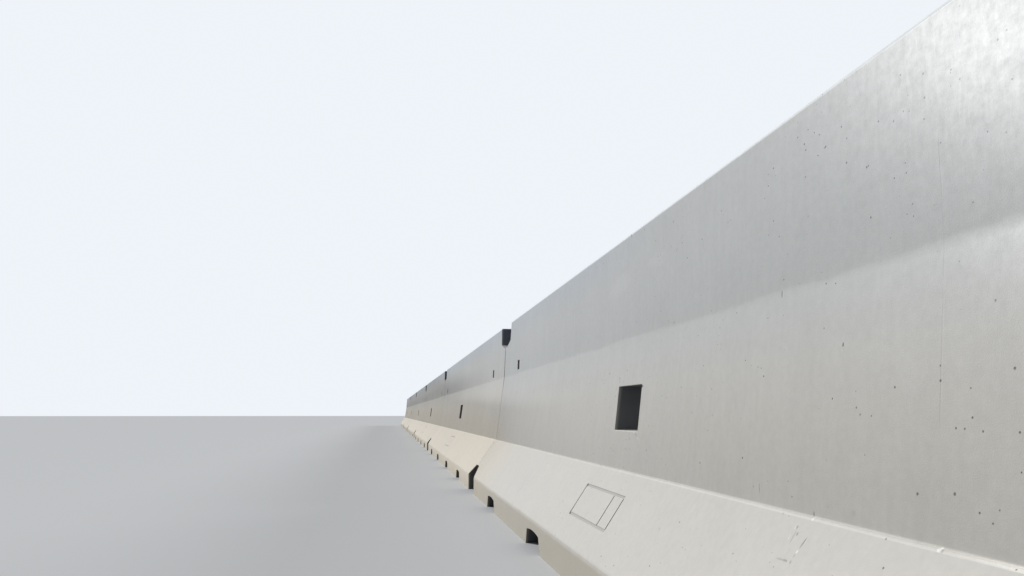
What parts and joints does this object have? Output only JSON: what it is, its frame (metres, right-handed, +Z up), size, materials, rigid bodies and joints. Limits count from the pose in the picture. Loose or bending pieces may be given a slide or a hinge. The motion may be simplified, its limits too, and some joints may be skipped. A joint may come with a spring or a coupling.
{
  "type": "precast concrete highway safety barrier run",
  "caption": "Run of precast concrete road barrier elements with a stepped profile, windows, drainage openings and steel joint hardware.",
  "frame": {"origin": "middle of the run, on the ground plane", "axes": "+X along the barrier, -Y toward the road face in the picture, +Z up"},
  "size_m": [36.02, 0.7, 1.2],
  "materials": {
    "concrete": "smooth mould-cast concrete, pale grey, with pinholes",
    "tie_bar_steel": "rolled bar, dull dark steel",
    "coupler_steel": "zinc-coated, dull",
    "plate_steel": "hot-dip galvanised, dull"
  },
  "bodies": {
    "root": {"element_1": "concrete", "element_2": "concrete", "element_3": "concrete", "element_4": "concrete", "element_5": "concrete", "element_6": "concrete", "tie_bar_1": "tie_bar_steel", "tie_bar_2": "tie_bar_steel", "tie_bar_3": "tie_bar_steel", "tie_bar_4": "tie_bar_steel", "tie_bar_5": "tie_bar_steel", "tie_bar_6": "tie_bar_steel", "bar_coupler_1": "coupler_steel", "bar_coupler_2": "coupler_steel", "bar_coupler_3": "coupler_steel", "bar_coupler_4": "coupler_steel", "bar_coupler_5": "coupler_steel", "front_splice_plate_1": "plate_steel", "front_splice_plate_2": "plate_steel", "front_splice_plate_3": "plate_steel", "front_splice_plate_4": "plate_steel", "front_splice_plate_5": "plate_steel", "back_splice_plate_1": "plate_steel", "back_splice_plate_2": "plate_steel", "back_splice_plate_3": "plate_steel", "back_splice_plate_4": "plate_steel", "back_splice_plate_5": "plate_steel"}
  },
  "joints": []
}
